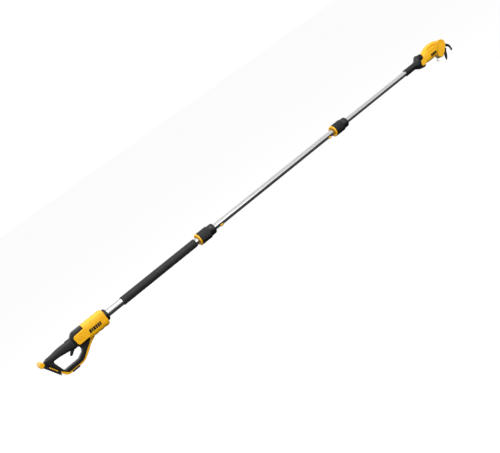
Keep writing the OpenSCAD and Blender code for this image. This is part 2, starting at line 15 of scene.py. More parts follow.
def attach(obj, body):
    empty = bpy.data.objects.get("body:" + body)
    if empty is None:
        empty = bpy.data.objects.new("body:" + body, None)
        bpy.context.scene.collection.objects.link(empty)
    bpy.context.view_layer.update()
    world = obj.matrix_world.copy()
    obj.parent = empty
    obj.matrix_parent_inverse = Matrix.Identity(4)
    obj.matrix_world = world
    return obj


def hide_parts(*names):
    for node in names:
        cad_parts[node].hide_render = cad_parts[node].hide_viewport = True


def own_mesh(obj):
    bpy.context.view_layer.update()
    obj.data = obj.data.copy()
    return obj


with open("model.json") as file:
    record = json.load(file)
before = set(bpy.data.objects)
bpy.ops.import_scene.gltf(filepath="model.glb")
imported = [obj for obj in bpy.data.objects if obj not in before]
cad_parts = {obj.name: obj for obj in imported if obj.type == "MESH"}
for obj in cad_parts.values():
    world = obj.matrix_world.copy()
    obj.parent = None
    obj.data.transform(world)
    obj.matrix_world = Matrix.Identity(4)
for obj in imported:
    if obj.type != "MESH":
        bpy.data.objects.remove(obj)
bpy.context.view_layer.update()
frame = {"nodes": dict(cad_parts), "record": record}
scene = bpy.context.scene

MM = 0.001
BIG = 400.0  # beyond any part of the object across the pole
SEAM = 0.12  # half of the parting gap between two shells
FOOT_LEAN = radians(61.2)  # how steeply the battery foot slopes down
TINY = 1e-6
EDGE_SHARE = 0.48  # the most of an edge that one fillet may take
NEARLY_STRAIGHT, NEARLY_FOLDED = radians(178), radians(4)

# -------- outlines


def turned(u, v, angle, centre=(0, 0)):
    """The point (u, v) of axes that start at centre and are turned by angle, in radians."""
    c, s = cos(angle), sin(angle)
    return centre[0] + u * c - v * s, centre[1] + u * s + v * c


def foot_point(t, n):
    """A point given along the battery foot's slide direction and outwards from it."""
    return turned(t, -n, -FOOT_LEAN)


def arc(centre, radius, start, end, steps=12):
    """Points on a circle from one angle to another, in degrees."""
    found = []
    for i in range(steps + 1):
        a = radians(start + (end - start) * i / steps)
        found.append((centre[0] + radius * cos(a), centre[1] + radius * sin(a)))
    return found


def circle(centre, radius, sides):
    return arc(centre, radius, 0, 360, sides)[:-1]


def fillet(points, radius, steps=6):
    """The outline with each corner rounded by an arc, as large as its edges allow."""
    found = []
    count = len(points)
    for i in range(count):
        p = Vector(points[i])
        a = Vector(points[i - 1]) - p
        b = Vector(points[(i + 1) % count]) - p
        if a.length < TINY or b.length < TINY:
            continue
        turn = a.angle(b)
        if turn > NEARLY_STRAIGHT or turn < NEARLY_FOLDED:
            found.append(tuple(p))
            continue
        reach = min(radius / tan(turn / 2), a.length * EDGE_SHARE, b.length * EDGE_SHARE)
        r = reach * tan(turn / 2)
        start, end = p + a.normalized() * reach, p + b.normalized() * reach
        centre = p + (a.normalized() + b.normalized()).normalized() * hypot(reach, r)
        u, v = start - centre, end - centre
        sweep = u.angle_signed(v)
        for k in range(steps + 1):
            w = u.copy()
            w.rotate(Matrix.Rotation(-sweep * k / steps, 2))
            found.append(tuple(centre + w))
    return found


# -------- mesh makers


def placed(name, data):
    """A new object in the scene that holds the data given."""
    made = bpy.data.objects.new(name, data)
    scene.collection.objects.link(made)
    return made


def evaluated_mesh(piece):
    """The mesh that an object's modifiers or curve settings give."""
    bpy.context.view_layer.update()
    graph = bpy.context.evaluated_depsgraph_get()
    return bpy.data.meshes.new_from_object(piece.evaluated_get(graph))


def new_object(name, bm):
    """An object from a bmesh whose points are in millimetres."""
    bmesh.ops.scale(bm, vec=(MM, MM, MM), verts=bm.verts)
    bmesh.ops.recalc_face_normals(bm, faces=bm.faces)
    mesh = bpy.data.meshes.new(name)
    bm.to_mesh(mesh)
    bm.free()
    return placed(name, mesh)


def rings_object(name, rings, closed=False):
    """Joins rings of equal count into a skin, capped at both ends unless it closes on itself."""
    bm = bmesh.new()
    rows = [[bm.verts.new(p) for p in ring] for ring in rings]
    count = len(rows[0])
    pairs = list(zip(rows, rows[1:]))
    if closed:
        pairs.append((rows[-1], rows[0]))
    for a, b in pairs:
        for i in range(count):
            j = (i + 1) % count
            bm.faces.new((a[i], a[j], b[j], b[i]))
    if not closed:
        bm.faces.new(rows[0][::-1])
        bm.faces.new(rows[-1])
    return new_object(name, bm)


def prism(name, outline, y0, y1):
    """A side outline, X and Z, made solid from y0 to y1."""
    return rings_object(name, [[(x, y, z) for x, z in outline] for y in (y0, y1)])


def rod_y(name, centre, y0, y1, radius, sides=48):
    return prism(name, circle(centre, radius, sides), y0, y1)


def box(name, x, y, z):
    """A box from its ranges along X, Y and Z."""
    return prism(name, [(x[0], z[0]), (x[1], z[0]), (x[1], z[1]), (x[0], z[1])], *y)


def moulded(name, outline, y0, y1, radius, holes=()):
    """A side outline with holes, made solid from y0 to y1, with every edge rounded."""
    curve = bpy.data.curves.new(name, "CURVE")
    curve.dimensions = "2D"
    curve.fill_mode = "BOTH"
    curve.extrude = ((y1 - y0) / 2 - radius) * MM
    curve.bevel_depth = radius * MM
    curve.bevel_resolution = 4
    curve.offset = -radius * MM
    for loop in (outline, *holes):
        spline = curve.splines.new("POLY")
        spline.points.add(len(loop) - 1)
        for point, (x, z) in zip(spline.points, loop):
            point.co = (x * MM, z * MM, 0, 1)
        spline.use_cyclic_u = True
    flat = placed(name, curve)
    mesh = evaluated_mesh(flat)
    bpy.data.objects.remove(flat)
    middle = Matrix.Translation((0, (y0 + y1) / 2 * MM, 0))
    mesh.transform(middle @ Matrix.Rotation(pi / 2, 4, "X"))
    bm = bmesh.new()
    bm.from_mesh(mesh)
    bmesh.ops.remove_doubles(bm, verts=bm.verts, dist=TINY)
    bmesh.ops.recalc_face_normals(bm, faces=bm.faces)
    bm.to_mesh(mesh)
    bm.free()
    mesh.name = name
    mesh.materials.clear()
    return placed(name, mesh)


def smooth_between(values, t):
    """A smooth curve through evenly spaced tuples of numbers, read at t from 0 to 1."""
    last = len(values) - 1
    u = min(max(t * last, 0), last - 1e-9)
    i = int(u)
    f = u - i
    p0, p1, p2, p3 = (values[min(max(i + k, 0), last)] for k in (-1, 0, 1, 2))
    found = []
    for a, b, c, d in zip(p0, p1, p2, p3):
        found.append(
            0.5 * (2 * b + (c - a) * f + (2 * a - 5 * b + 4 * c - d) * f * f
                   + (3 * b - a - 3 * c + d) * f ** 3)
        )
    return found


def smooth_path(values, steps):
    """The same curve read at evenly spaced places."""
    return [smooth_between(values, i / steps) for i in range(steps + 1)]


def section(station, sides, inset=0.0, slide=0.0):
    """The ring of one station, made smaller by inset and moved along the body by slide."""
    top, bottom = Vector((station[0], 0, station[1])), Vector((station[2], 0, station[3]))
    half_width, square = station[4:6]
    up = (top - bottom).normalized()
    along = Vector((up.z, 0, -up.x))
    centre = (top + bottom) / 2 + along * slide
    h = (top - bottom).length / 2 - inset
    w = half_width - inset
    ring = []
    for i in range(sides):
        angle = 2 * pi * i / sides
        c, s = cos(angle), sin(angle)
        y = copysign(abs(c) ** (2 / square), c) * w
        z = copysign(abs(s) ** (2 / square), s) * h
        p = centre + up * z
        ring.append((p.x, y, p.z))
    return ring


def loft(name, stations, edge=1.5, sides=64, steps=5):
    """A body through stations of (top x, top z, bottom x, bottom z, half width, square).

    Square 2 is an ellipse, more is boxier. Both ends are rounded by edge millimetres.
    """
    near, far = edge if isinstance(edge, tuple) else (edge, edge)
    count = (len(stations) - 1) * steps
    rows = smooth_path(stations, count)
    length = (Vector(rows[-1][0:2]) - Vector(rows[0][0:2])).length
    bends = [(1 - sin(a), 1 - cos(a)) for a in map(radians, (0, 22, 45, 68, 90))]
    rings = [section(rows[0], sides, near * a, near * b) for a, b in bends]
    for i, row in enumerate(rows):
        if near < length * i / count < length - far:
            rings.append(section(row, sides))
    rings += [section(rows[-1], sides, far * a, -far * b) for a, b in reversed(bends)]
    return rings_object(name, rings)


def lathe(name, profile, sides=96, ripple=None, start=0.0):
    """Turns a closed profile of (x, radius) points about the pole's axis, x counted from start.

    ripple(x, radius, angle) gives the radius at that place, for ribs and flutes.
    """
    rings = []
    for i in range(sides):
        a = 2 * pi * i / sides
        ring = []
        for x, r in profile:
            r = ripple(x, r, a) if ripple else r
            ring.append((start + x, r * cos(a), r * sin(a)))
        rings.append(ring)
    return rings_object(name, rings, closed=True)


def sweep(name, points, radius, sides=12, closed=False):
    """A round wire along points; radius may be one number or one for each point."""
    pts = [Vector(p) for p in points]
    count = len(pts)
    radii = radius if isinstance(radius, list) else [radius] * count
    rings = []
    normal = None
    for i, p in enumerate(pts):
        if closed:
            ahead, behind = pts[(i + 1) % count], pts[i - 1]
        else:
            ahead, behind = pts[min(i + 1, count - 1)], pts[max(i - 1, 0)]
        tangent = (ahead - behind).normalized()
        if normal is None:
            normal = tangent.orthogonal().normalized()
        normal = (normal - tangent * normal.dot(tangent)).normalized()
        side = tangent.cross(normal)
        rings.append([
            p + (normal * cos(2 * pi * k / sides)
                 + side * sin(2 * pi * k / sides)) * radii[i]
            for k in range(sides)
        ])
    return rings_object(name, rings, closed=closed)


def combine(piece, other, operation="DIFFERENCE", keep=False):
    """Cuts, joins or intersects a piece with another, which is then removed unless kept."""
    modifier = piece.modifiers.new("combine", "BOOLEAN")
    modifier.operation = operation
    modifier.solver = "MANIFOLD"
    modifier.object = other
    mesh = evaluated_mesh(piece)
    piece.modifiers.clear()
    old = piece.data
    piece.data = mesh
    bpy.data.meshes.remove(old)
    mesh.name = piece.name
    if not keep:
        bpy.data.objects.remove(other)
    return piece


def cut(piece, *cutters):
    for cutter in cutters:
        combine(piece, cutter)
    return piece


def join(piece, *others):
    for other in others:
        combine(piece, other, "UNION")
    return piece


def copy_of(piece, name):
    return placed(name, piece.data.copy())


def dress(piece, body, slot, replaces=(), angle=35, weighted=True, material=None):
    """Smooth shading, the material of its slot, its body, and hides the CAD nodes that the piece stands
    for.
    """
    piece.data.materials.clear()
    piece.data.materials.append(material or FINISHES[slot])
    for polygon in piece.data.polygons:
        polygon.use_smooth = True
    piece.data.set_sharp_from_angle(angle=radians(angle))
    if weighted:
        modifier = piece.modifiers.new("normals", "WEIGHTED_NORMAL")
        modifier.keep_sharp = True
    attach(piece, body)
    if replaces:
        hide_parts(*replaces)


def dress_halves(piece, name, body, slot, node):
    """Splits a moulding at its parting plane; each shell stands for the CAD node of its side."""
    other = copy_of(piece, name + "_right")
    piece.name = name + "_left"
    for shell, side, depth in ((piece, "_left", (-BIG, -SEAM)), (other, "_right", (SEAM, BIG))):
        combine(shell, box("half", (-BIG, 9 * BIG), depth, (-BIG, BIG)), "INTERSECT")
        dress(shell, body, slot, [node + side])


# -------- materials


def srgb(r, g, b):
    """A colour from 0-255 screen values."""
    found = [c / 255 for c in (r, g, b)]
    return tuple(c / 12.92 if c <= 0.04045 else ((c + 0.055) / 1.055) ** 2.4 for c in found) + (1.0,)


def fill(node, **inputs):
    """Sets a node's inputs, to values or to other nodes' outputs; _ stands for a space."""
    for name, value in inputs.items():
        socket = node.inputs[name.replace("_", " ")]
        if isinstance(value, bpy.types.NodeSocket):
            node.id_data.links.new(value, socket)
        else:
            socket.default_value = value
    return node


class Finish:
    """A Principled material built up from procedural layers in object coordinates."""

    def __init__(self, name, **sockets):
        self.material = bpy.data.materials.new(name)
        self.material.use_nodes = True
        self.nodes = self.material.node_tree.nodes
        self.shader = fill(self.nodes["Principled BSDF"], **sockets)
        self.coords = self.nodes.new("ShaderNodeTexCoord").outputs["Object"]
        self.height = None

    def texture(self, kind, stretch, **inputs):
        """A texture node on object coordinates, which are multiplied by stretch first."""
        mapping = fill(self.nodes.new("ShaderNodeMapping"), Vector=self.coords, Scale=stretch)
        return fill(self.nodes.new(kind), Vector=mapping.outputs["Vector"], **inputs).outputs

    def noise(self, scale, stretch=(1, 1, 1), detail=3.0, rough=0.5):
        inputs = {"Scale": scale, "Detail": detail, "Roughness": rough}
        return self.texture("ShaderNodeTexNoise", stretch, **inputs)["Fac"]

    def cells(self, scale, stretch=(1, 1, 1)):
        return self.texture("ShaderNodeTexVoronoi", stretch, Scale=scale)["Distance"]

    def ranged(self, value, low=0.0, high=1.0, start=0.3, end=0.7):
        """Maps a value from start..end to low..high."""
        node = fill(self.nodes.new("ShaderNodeMapRange"), Value=value, From_Min=start, From_Max=end,
                    To_Min=low, To_Max=high)
        return node.outputs["Result"]

    def colour(self, a, b, factor):
        """The base colour runs with factor from a, a colour or an earlier result, to b."""
        node = self.nodes.new("ShaderNodeMix")
        node.data_type = "RGBA"
        fill(node, A=a, B=b, Factor=factor)
        fill(self.shader, Base_Color=node.outputs["Result"])
        return node.outputs["Result"]

    def roughness(self, value):
        fill(self.shader, Roughness=value)

    def bump(self, value, strength, distance):
        """Adds a layer of relief, distance in millimetres."""
        node = fill(self.nodes.new("ShaderNodeBump"), Strength=strength, Distance=distance * MM,
                    Height=value)
        if self.height is not None:
            fill(node, Normal=self.height)
        self.height = node.outputs["Normal"]
        fill(self.shader, Normal=self.height)


def moulded_plastic(name, light, dark, rough, grain=1600.0, relief=0.25, **sockets):
    """Injection-moulded plastic: a fine spark-eroded grain and faint flow marks."""
    f = Finish(name, **sockets)
    flow = f.noise(9.0, (1, 2, 2), 4.0)
    f.colour(dark, light, f.ranged(flow, 0.0, 1.0, 0.25, 0.6))
    f.roughness(f.ranged(f.noise(140.0, detail=5.0), rough - 0.05, rough + 0.07))
    f.bump(f.noise(grain, detail=2.0), relief, 0.06)
    f.bump(f.noise(60.0, detail=2.0), 0.12, 0.2)
    return f.material


def rubber(name):
    """Soft black overmoulding: matt, with a fine stipple and a little dust."""
    f = Finish(name, Sheen_Weight=0.04, Sheen_Roughness=0.5, Specular_IOR_Level=0.4)
    base = f.colour(srgb(22, 23, 24), srgb(35, 36, 37), f.ranged(f.noise(22.0, detail=4.0)))
    f.colour(base, srgb(60, 60, 58), f.ranged(f.noise(420.0, detail=3.0), 0.0, 0.3, 0.6, 0.8))
    f.roughness(f.ranged(f.noise(90.0), 0.42, 0.58))
    f.bump(f.cells(900.0), 0.5, 0.12)
    return f.material


def foam_finish(name):
    """Closed-cell foam: open pores at the skin, with painted shade in their pits, and no gloss."""
    f = Finish(name, Sheen_Weight=0.05, Sheen_Roughness=0.6, Specular_IOR_Level=0.4)
    base = f.colour(srgb(23, 24, 23), srgb(37, 38, 36), f.ranged(f.noise(35.0, detail=5.0)))
    pores = f.cells(1100.0)
    # painted shade: the pores' pits are darkened in colour
    f.colour(base, srgb(14, 14, 14), f.ranged(pores, 0.7, 0.0, 0.1, 0.35))
    f.roughness(f.ranged(f.noise(300.0), 0.55, 0.75))
    f.bump(pores, 0.6, 0.15)
    return f.material


def anodised(name):
    """Anodised aluminium tube, drawn lengthways: long fine lines in tone, gloss and relief."""
    f = Finish(name, Metallic=1.0, Anisotropic=0.35)
    lines = f.noise(900.0, (0.012, 1, 1), 3.0, 0.6)
    base = f.colour(srgb(186, 186, 187), srgb(214, 214, 215), f.ranged(lines))
    f.colour(base, srgb(160, 160, 161), f.ranged(f.noise(24.0, (0.2, 1, 1), 5.0), 0.0, 0.3, 0.5, 0.8))
    f.roughness(f.ranged(f.noise(300.0, (0.05, 1, 1), 4.0), 0.2, 0.33))
    f.bump(lines, 0.18, 0.02)
    return f.material


def metal(name, light, dark, low, high, scale=(1, 1, 1), relief=0.15, **sockets):
    """A machined or coated metal with fine marks stretched by scale."""
    f = Finish(name, **sockets)
    marks = f.noise(700.0, scale, 4.0, 0.6)
    f.colour(dark, light, f.ranged(marks))
    f.roughness(f.ranged(f.noise(180.0, scale, 4.0), low, high))
    f.bump(marks, relief, 0.02)
    return f.material


def board_finish(name):
    """Circuit board: green mask with copper runs under it."""
    f = Finish(name, Coat_Weight=0.4, Coat_Roughness=0.15)
    runs = f.cells(260.0, (1, 0.25, 1))
    base = f.colour(srgb(16, 78, 42), srgb(30, 110, 62), f.ranged(f.noise(60.0)))
    f.colour(base, srgb(52, 140, 84), f.ranged(runs, 1.0, 0.0, 0.05, 0.12))
    f.roughness(f.ranged(f.noise(200.0), 0.3, 0.45))
    f.bump(runs, 0.3, 0.05)
    return f.material


FINISHES = {
    "yellow_plastic": moulded_plastic("yellow_plastic", srgb(255, 190, 8), srgb(250, 178, 0), 0.36,
                                      Specular_IOR_Level=0.45),
    "black_plastic": moulded_plastic("black_plastic", srgb(25, 26, 27), srgb(17, 18, 19), 0.33,
                                     Specular_IOR_Level=0.38),
    "grip_rubber": rubber("grip_rubber"),
    "foam": foam_finish("foam"),
    "aluminium_tube": anodised("aluminium_tube"),
    "blade_steel": metal("blade_steel", srgb(52, 53, 56), srgb(36, 37, 40), 0.3, 0.42, (1, 1, 0.1),
                         Metallic=0.55),
    "steel": metal("steel", srgb(176, 177, 180), srgb(140, 141, 145), 0.28, 0.42, Metallic=1.0),
    "chrome": metal("chrome", srgb(150, 151, 155), srgb(112, 113, 118), 0.1, 0.2, relief=0.05,
                    Metallic=1.0),
    "circuit_board": board_finish("circuit_board"),
    "brass": metal("brass", srgb(214, 170, 84), srgb(182, 138, 60), 0.22, 0.36, (0.1, 1, 1),
                   Metallic=1.0),
}
EDGE = metal("ground_edge", srgb(196, 198, 202), srgb(150, 152, 156), 0.2, 0.32, (0.08, 1, 1),
             Metallic=1.0)
INK = moulded_plastic("printed_mark", srgb(26, 22, 16), srgb(18, 15, 11), 0.5,
                      Specular_IOR_Level=0.3)

# -------- more mesh makers


def barrel_x(name, x0, x1, radius, z):
    """A rod along X whose axis is z above the pole's."""
    ring = circle((0, z), radius, 64)
    return rings_object(name, [[(x, y, h) for y, h in ring] for x in (x0, x1)])


def spun_y(name, centre, levels, sides=48):
    """A solid of round sections along Y, from levels of (y, radius)."""
    return rings_object(name, [
        [(x, y, z) for x, z in circle(centre, radius, sides)] for y, radius in levels])


def curved(points, steps=4):
    """A smooth closed curve through the points."""
    pts = [Vector(p) for p in points]
    count = len(pts)
    ways = [(pts[(i + 1) % count] - pts[i - 1]).normalized() for i in range(count)]
    found = []
    for i in range(count):
        a, b = pts[i], pts[(i + 1) % count]
        reach = (b - a).length
        for k in range(steps):
            t = k / steps
            near = a * (2 * t ** 3 - 3 * t ** 2 + 1) + ways[i] * reach * (t ** 3 - 2 * t ** 2 + t)
            far = b * (3 * t ** 2 - 2 * t ** 3) + ways[(i + 1) % count] * reach * (t ** 3 - t ** 2)
            found.append(tuple(near + far))
    return found


def reshape(piece, move):
    """Moves every point of a piece; move takes and returns x, y, z in millimetres."""
    for vertex in piece.data.vertices:
        vertex.co = Vector(move(*(vertex.co / MM))) * MM
    return piece


def screw_cut(centre, depth):
    """The hole of a screw that enters from the right side, its head sunk below depth."""
    shank, head, sunk = 1.65, 3.3, depth - 2.5
    levels = [(5 - depth, shank), (sunk, shank), (sunk, head), (depth + 6, head)]
    return spun_y("screw hole", centre, levels, 32)


def ease(piece, width):
    """Rounds a piece's hard edges by width millimetres."""
    bevel = piece.modifiers.new("ease", "BEVEL")
    bevel.width = width * MM
    bevel.segments = 2
    return bevel


def ease_node(name, width):
    """Welds a CAD node that is shown as it is, and rounds its hard edges."""
    node = frame["nodes"][name]
    node.modifiers.new("weld", "WELD").merge_threshold = 0.02 * MM
    ease(node, width).angle_limit = radians(40)


# -------- handle

FOOT_N = 72.0
TRIGGER_PIVOT = (62.0, -19.0)
FRAME_W, NECK_W = 13.5, 20.0  # half widths
PIN_HOLE_R = 2.05
FRAME_OUTLINE = [
    (-76, 9.5), (-44.4, 10.3), (-8.4, 14.3), (48, 13.6), (57, 20.4), (67.4, 29.6), (76, 33),
    (115.8, 33), (115.8, -35.3), (107, -44.4), (93, -53.6), (79, -63.0), (66, -72.6), (57.5, -79.6),
    (46, -84.6), (30, -85.8), (-25.1, -86.6), (-33.4, -77), foot_point(28, FOOT_N),
    foot_point(-40, FOOT_N),
]
RIM = [
    foot_point(28.2, FOOT_N + 0.1), foot_point(31.8, FOOT_N + 5.8), (-45.8, -77), (-41.5, -84),
    (-36.1, -89), (-28, -93), (-20, -94.4), (-12.6, -94.6), (22, -93.2), (42, -91.6), (56, -87.4),
    (68, -80.6), (81, -72.4), (94, -63.2), (107, -53.6), (122, -45.4), (138.6, -38), (138.6, -36),
    (116, -34), (60, -60), (30, -80), (-20, -80),
]
OPENING = [
    (-51, -11.5), (-20, -13), (0, -16.2), (20, -19.6), (54, -25.6), (67.4, -32), (68.6, -43), (61.5, -55),
    (36.3, -67.8), (-34, -68.4),
]
FRAME_SCREWS = ((-63, -4), (-18, -77.6), (44, -76), (82, -47))
NECK_SCREW = (97, 22)
HOUSING_SCREWS = ((128, 26), (202, 26), (128, -28.5), (202, -28.5))


def make_handle():
    """The black D-frame, in two shells, with its wide neck in front of the grip."""
    band = moulded("handle", fillet(FRAME_OUTLINE, 5.5), -FRAME_W, FRAME_W, 4.2, [fillet(OPENING, 8)])
    neck = loft("neck", [
        (56.6, 17.5, 57.5, -27.0, 14.0, 3.0), (61.5, 24.5, 61.5, -30.0, 17.4, 3.4),
        (67.5, 29.4, 67.0, -33.0, 19.2, 4.0), (75.0, 32.4, 75.0, -34.8, 19.9, 4.5),
        (88.0, 33.2, 88.0, -35.4, 20.0, 5.0), (101.0, 33.2, 101.0, -35.4, 20.0, 5.0),
        (115.8, 33.2, 115.8, -35.4, 20.0, 5.0)], edge=1.0)
    join(band, neck)
    cut(band,
        box("trigger slot", (15, 69), (-6.8, 6.8), (-40, -6)),
        box("lock slot", (28.5, 53.5), (-6.2, 6.2), (4, 28)),
        box("switch pocket", (24, 57), (-8.6, 8.6), (-10, 4.5)),
        rod_y("pin hole", TRIGGER_PIVOT, -10.7, 10.7, PIN_HOLE_R, 32),
        barrel_x("cable hole", 109.8, 121.8, 9, 0))
    make_rim(band)
    for point in FRAME_SCREWS:
        cut(band, screw_cut(point, FRAME_W))
    cut(band, screw_cut(NECK_SCREW, NECK_W))
    make_grip_cover(band)
    dress_halves(band, "frame", "handle", "black_plastic", "handle")


def make_rim(band):
    """Yellow strip that wraps the outside of the D and runs up under the housing."""
    rim = moulded("rim", RIM, -10.4, 10.4, 1.4)
    whole = copy_of(band, "whole")
    join(whole, prism("opening", OPENING, -12, 12))
    combine(rim, whole)
    cut(rim,
        box("pad seat", (-12.6, 22.4), (-20, 20), (-120, -88.7)),
        box("under housing", (100, 150), (-20, 20), (-37.0, 0)))
    dress(rim, "handle", "yellow_plastic", ["rim_strip"])


def make_grip_cover(band):
    """Soft cover round the grip bar, open for the trigger and the lock-off button."""
    cover = loft("grip_cover_soft", [
        (-69, 12.0, -61, -16.4, 15.0, 2.6), (-54, 12.9, -48, -14.8, 16.4, 2.7),
        (-38, 13.9, -34, -15.2, 17, 2.7), (-22, 15.8, -20, -15.9, 17, 2.7),
        (-6, 17.2, -5, -18.2, 17, 2.7), (8, 17.3, 8, -20.4, 17, 2.7),
        (22, 17.1, 22, -22.6, 17, 2.7), (37, 16.8, 37, -25.2, 17, 2.8),
        (54.5, 18.8, 56, -28.2, 17, 3.0)], edge=2.0)
    cut(cover,
        box("trigger slot", (15, 69), (-7.5, 7.5), (-40, -6)),
        box("lock slot", (28.2, 54.2), (-6.6, 6.6), (4, 28)))
    combine(cover, band, keep=True)
    dress(cover, "handle", "grip_rubber", ["grip_cover"])


def make_trigger():
    """The trigger lever on its hub, with finger grooves along its front."""
    outline = [(64, -15), (66, -19), (65, -26), (60, -29.2), (52, -29.6), (44, -31), (36, -35),
               (28, -41), (24, -43.2), (20, -43), (17.5, -40.5), (18.5, -36), (23, -31), (28, -25),
               (31, -17.6), (52, -16)]
    lever = moulded("trigger_lever", fillet(outline, 3.5), -6, 6, 1.6)
    join(lever, rod_y("hub", TRIGGER_PIVOT, -6, 6, 4, 32))
    cut(lever, rod_y("pin hole", TRIGGER_PIVOT, -7, 7, PIN_HOLE_R, 32))
    for k in range(3):
        cut(lever, rod_y("finger groove", (31 + 7.2 * k, -41.5 + 5.2 * k), -8, 8, 2.6, 24))
    dress(lever, "trigger", "black_plastic", ["trigger"])


def make_spring(name, centre, z0, z1, radius, turns, node):
    """A small coil spring with flat ends."""
    wire, seat, flat_turns = 0.36, 0.4, 0.8
    points = []
    count = turns * 18
    for i in range(count + 1):
        done = turns * i / count
        a = 2 * pi * done
        rise = min(max((done - flat_turns) / (turns - 2 * flat_turns), 0), 1)
        z = z0 + seat + (z1 - z0 - 2 * seat) * rise
        points.append((centre + radius * cos(a), radius * sin(a), z))
    spring = sweep(name, points, wire, 8)
    dress(spring, "handle", "steel", [node], weighted=False)
    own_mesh(spring)


def make_lock_button():
    """The lock-off button, with five ribs across its top."""
    outline = [(29.5, 9.8), (30.4, 18.0)]
    for k in range(5):
        x = 32.6 + 3.8 * k
        outline += [(x, 19.1), (x + 1.8, 19.1), (x + 2.4, 18.1), (x + 3.3, 18.1)]
    outline = outline[:-2] + [(51.8, 18.2), (52.5, 16.8), (52.5, 9.8)]
    button = prism("lock_button", outline, -5.4, 5.4)
    ease(button, 0.5)
    dress(button, "lock_off", "black_plastic", ["lock_off_button"])


HOUSING_START, HOUSING_END, HUMP_PITCH = 116, 217, 26


def housing_stations():
    """The yellow housing's sections: four shallow humps along its top and bottom edges."""
    found = []
    count = 48
    for i in range(count + 1):
        x = HOUSING_START + (HOUSING_END - HOUSING_START) * i / count
        dip = abs(sin(pi * (x - 112) / HUMP_PITCH)) ** 0.7 - 1
        found.append((x, 34 + 2.2 * dip, x, -37 - 2.2 * dip, 32.8 + 0.8 * dip, 3.5))
    return found


# x, z and radius of the cheek's corners
CHEEK = [(74, 4.5, 11), (118, 12.5, 5.5), (118, -18, 5.5), (75.5, -15, 11)]
CHEEK_IN, CHEEK_OUT = NECK_W + 0.2, 33


def cheek_outline():
    """Round the cheek's four corner circles, clockwise from the rear."""
    found = arc(CHEEK[0][:2], CHEEK[0][2], 180, 98, 10)
    found += arc(CHEEK[1][:2], CHEEK[1][2], 92, 0, 6)
    found += arc(CHEEK[2][:2], CHEEK[2][2], 0, -86, 6)
    found += arc(CHEEK[3][:2], CHEEK[3][2], -92, -180, 10)
    return found


def cheek_face(x):
    """How far the cheek's face is from the middle: it comes out as it runs forwards."""
    return 29.4 + 3.2 * min(max((x - 63) / 52, 0), 1)


def make_cheek(side):
    """The rounded lobe that reaches back over the neck, with three slanted ribs on its face."""
    cheek = moulded("cheek", cheek_outline(), *sorted((side * CHEEK_IN, side * CHEEK_OUT)), 2.8)

    def lean(x, y, z):
        share = (abs(y) - CHEEK_IN) / (CHEEK_OUT - CHEEK_IN)
        return x, side * (CHEEK_IN + share * (cheek_face(x) - CHEEK_IN)), z

    reshape(cheek, lean)
    for k in range(3):
        ends = ((74 + 8.6 * k, 7.6 - 1.7 * k), (83.5 + 8.6 * k, -9.4 - 1.7 * k))
        line = [(x, side * (cheek_face(x) - 0.7), z) for x, z in ends]
        join(cheek, sweep("rib", line, 1.8, 20))
    return cheek


def slanted_blocks(x0, z0, height, widths, gap=1.7, lean=2.2):
    """A row of plain slanted blocks, as side outlines: a mark that says nothing."""
    found = []
    x = x0
    z1 = z0 + height
    for width in widths:
        found.append([(x, z0), (x + width, z0), (x + width + lean, z1), (x + lean, z1)])
        x += width + gap
    return found


def inlay(name, blocks, shell, grown, y0, y1, body):
    """Marks let into a shell, a little proud of it, following its surface."""
    marks = None
    for outline in blocks:
        cut(shell, prism("recess", outline, y0, y1))
        block = prism("block", outline, y0, y1)
        combine(block, grown, "INTERSECT", keep=True)
        marks = join(marks, block) if marks else block
    bpy.data.objects.remove(grown)
    marks.name = name
    dress(marks, body, "black_plastic", material=INK)


def swollen(shell):
    """A copy of a shell that is a little wider on each side, to shape its marks."""
    grown = copy_of(shell, "grown")
    return reshape(grown, lambda x, y, z: (x, y + copysign(0.2, y), z))


def make_housing():
    """The yellow housing in two shells, with its cheeks, creases, screw holes and mark."""
    shell = loft("housing", housing_stations(), edge=(1.2, 5.0), sides=96, steps=1)
    join(shell, make_cheek(-1), make_cheek(1))
    for side in (-1, 1):
        line = [(x, side * (31.3 + 0.1 * sin(x)), 21.0) for x in range(118, 214, 6)]
        cut(shell, sweep("crease", line, 2.7, 20))
        line = [(213, side * 32.0, 21.0), (214.2, side * 32.2, 10), (214.2, side * 32.2, -16)]
        cut(shell, sweep("front crease", line, 1.3, 16))
    grown = swollen(shell)
    cut(shell,
        barrel_x("tube hole", 144.8, 240, 15.35, 0),
        barrel_x("cable hole", 100, 146, 9, 0),
        box("board pocket", (131, 193), (-19, 19), (20, 29)))
    for point in HOUSING_SCREWS:
        cut(shell, screw_cut(point, 24))
    for point in HOUSING_SCREWS[:2]:
        cut(shell, rod_y("screw access", point, 23, 40, 3.3, 32))
    blocks = slanted_blocks(127, -15, 15.5, (9.5, 6, 10.5, 8, 8.5, 6.5))
    inlay("housing_mark", blocks, shell, grown, -34, -31.4, "handle")
    dress_halves(shell, "housing_shell", "handle", "yellow_plastic", "housing")


def make_flange():
    """The black ring where the pole leaves the housing, with one groove round it."""
    profile = [(217.15, 15.35), (217.15, 25.9), (217.9, 26.5), (220.6, 26.5), (221.3, 25.7),
               (222.3, 25.7), (223, 26.5), (226.4, 26.4), (228, 25.4), (230.6, 23), (231.8, 21.4),
               (231.9, 20), (231.9, 15.35)]
    dress(lathe("flange", profile), "handle", "black_plastic", ["flange_ring"])


